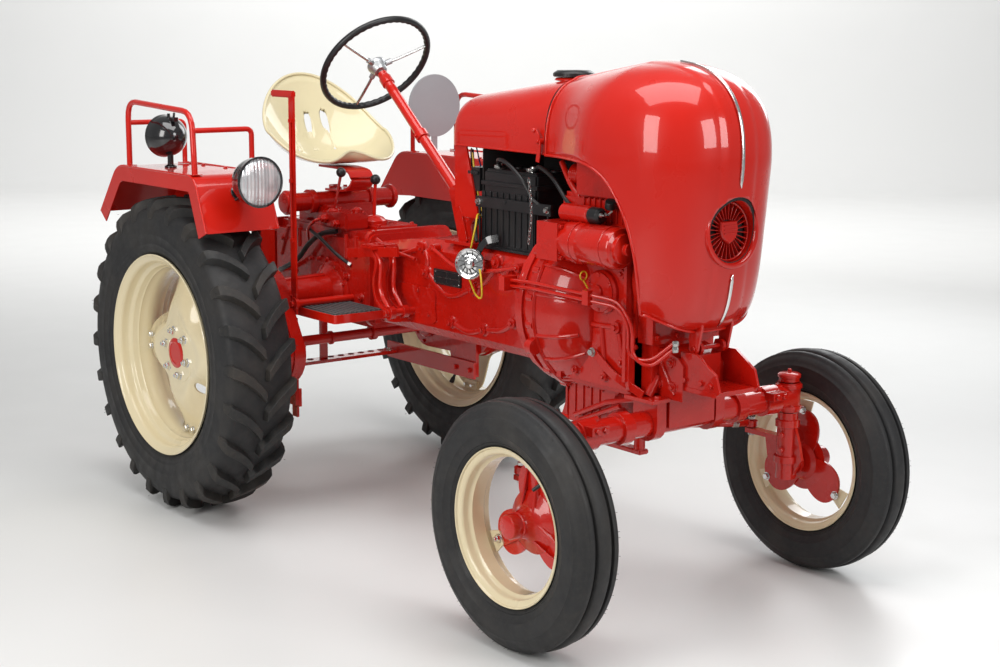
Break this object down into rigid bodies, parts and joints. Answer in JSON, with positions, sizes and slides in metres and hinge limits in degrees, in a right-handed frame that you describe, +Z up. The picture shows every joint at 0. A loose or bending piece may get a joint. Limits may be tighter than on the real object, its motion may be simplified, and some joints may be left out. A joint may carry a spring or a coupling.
{
  "type": "farm tractor",
  "caption": "Small vintage farm tractor with a rounded tilting bonnet, bucket seat, open operator's place, steered front wheels and large lugged rear wheels.",
  "frame": {"origin": "on the ground under the middle of the tractor's bounding box", "axes": "the tractor faces -Y, its right side is -X, and +Z is up"},
  "size_m": [1.421, 2.5374, 1.6013],
  "materials": {
    "red_paint": "gloss",
    "cream_paint": "gloss",
    "tyre_rubber": "satin",
    "black_paint": "gloss",
    "black_plastic": "satin",
    "step_rubber": "matte",
    "grey_paint": "satin"
  },
  "bodies": {
    "chassis": {"tank_cowl": "red_paint", "fuel_cap": "black_plastic", "gearbox_housing": "red_paint", "clutch_housing": "red_paint", "flywheel_housing": "red_paint", "engine_block": "red_paint", "engine_sump": "red_paint", "front_pedestal": "red_paint", "front_axle": "red_paint", "steering_column": "red_paint", "steering_gear": "red_paint", "seat_pan": "cream_paint", "seat_spring": "red_paint", "lift_housing": "red_paint", "tank_support": "red_paint", "battery": "black_plastic", "cross_shaft": "red_paint", "drawbar": "red_paint", "lift_lever": "red_paint", "gear_lever": "red_paint", "hydraulic_valve": "red_paint", "brake_pedals": "red_paint", "work_lamp": "black_paint", "fender_reflector": "grey_paint", "final_drive_left": "red_paint", "fender_left": "red_paint", "fender_rail_left": "red_paint", "headlamp_left": "black_paint", "footstep_left": "step_rubber", "final_drive_right": "red_paint", "fender_right": "red_paint", "fender_rail_right": "red_paint", "headlamp_right": "black_paint", "footstep_right": "step_rubber"},
    "bonnet": {"bonnet": "red_paint", "grille": "red_paint"},
    "steering_wheel": {"steering_wheel": "black_plastic"},
    "steering_arm": {"steering_arm": "red_paint"},
    "tie_rod_left": {"tie_rod_left": "red_paint"},
    "knuckle_left": {"knuckle_left": "red_paint"},
    "front_wheel_left": {"front_hub_left": "red_paint", "front_rim_left": "cream_paint", "front_tyre_left": "tyre_rubber"},
    "rear_wheel_left": {"rear_wheel_left": "cream_paint", "rear_tyre_left": "tyre_rubber"},
    "tie_rod_right": {"tie_rod_right": "red_paint"},
    "knuckle_right": {"knuckle_right": "red_paint"},
    "front_wheel_right": {"front_hub_right": "red_paint", "front_rim_right": "cream_paint", "front_tyre_right": "tyre_rubber"},
    "rear_wheel_right": {"rear_wheel_right": "cream_paint", "rear_tyre_right": "tyre_rubber"}
  },
  "joints": [
    {"name": "bonnet_hinge", "type": "hinge", "parent": "chassis", "child": "bonnet", "pos_m": [0, -1.04725, 0.742], "axis": [1, 0, 0], "range_deg": [0, 60]},
    {"name": "steering_wheel_turn", "type": "hinge", "parent": "chassis", "child": "steering_wheel", "pos_m": [0, 0.51275, 1.4462], "axis": [0, 0.7603, 0.6495], "range_deg": [-400, 400]},
    {"name": "steering_arm_swing", "type": "hinge", "parent": "chassis", "child": "steering_arm", "pos_m": [0, -0.78725, 0.42], "axis": [0, 0, 1], "range_deg": [-40, 40]},
    {"name": "steer_right", "type": "hinge", "parent": "chassis", "child": "knuckle_right", "pos_m": [-0.441, -0.94125, 0.53], "axis": [0, 0, 1], "range_deg": [-40, 40]},
    {"name": "tie_rod_right_swing", "type": "hinge", "parent": "steering_arm", "child": "tie_rod_right", "pos_m": [0, -0.64725, 0.423], "axis": [0, 0, 1], "range_deg": [-40, 40]},
    {"name": "front_wheel_right_spin", "type": "hinge", "parent": "knuckle_right", "child": "front_wheel_right", "pos_m": [-0.5545, -0.94125, 0.3275], "axis": [1, 0, 0], "continuous": true},
    {"name": "rear_wheel_right_spin", "type": "hinge", "parent": "chassis", "child": "rear_wheel_right", "pos_m": [-0.593, 0.75275, 0.516], "axis": [1, 0, 0], "continuous": true},
    {"name": "steer_left", "type": "hinge", "parent": "chassis", "child": "knuckle_left", "pos_m": [0.441, -0.94125, 0.53], "axis": [0, 0, 1], "range_deg": [-40, 40]},
    {"name": "tie_rod_left_swing", "type": "hinge", "parent": "steering_arm", "child": "tie_rod_left", "pos_m": [0, -0.64725, 0.447], "axis": [0, 0, 1], "range_deg": [-40, 40]},
    {"name": "front_wheel_left_spin", "type": "hinge", "parent": "knuckle_left", "child": "front_wheel_left", "pos_m": [0.5545, -0.94125, 0.3275], "axis": [1, 0, 0], "continuous": true},
    {"name": "rear_wheel_left_spin", "type": "hinge", "parent": "chassis", "child": "rear_wheel_left", "pos_m": [0.593, 0.75275, 0.516], "axis": [1, 0, 0], "continuous": true}
  ],
  "couplings": [
    {"joint": "steer_left", "follows": "steer_right", "ratio": 1},
    {"joint": "steering_arm_swing", "follows": "steer_right", "ratio": 1},
    {"joint": "tie_rod_right_swing", "follows": "steer_right", "ratio": -1},
    {"joint": "tie_rod_left_swing", "follows": "steer_right", "ratio": -1},
    {"joint": "steering_wheel_turn", "follows": "steer_right", "ratio": 10}
  ]
}
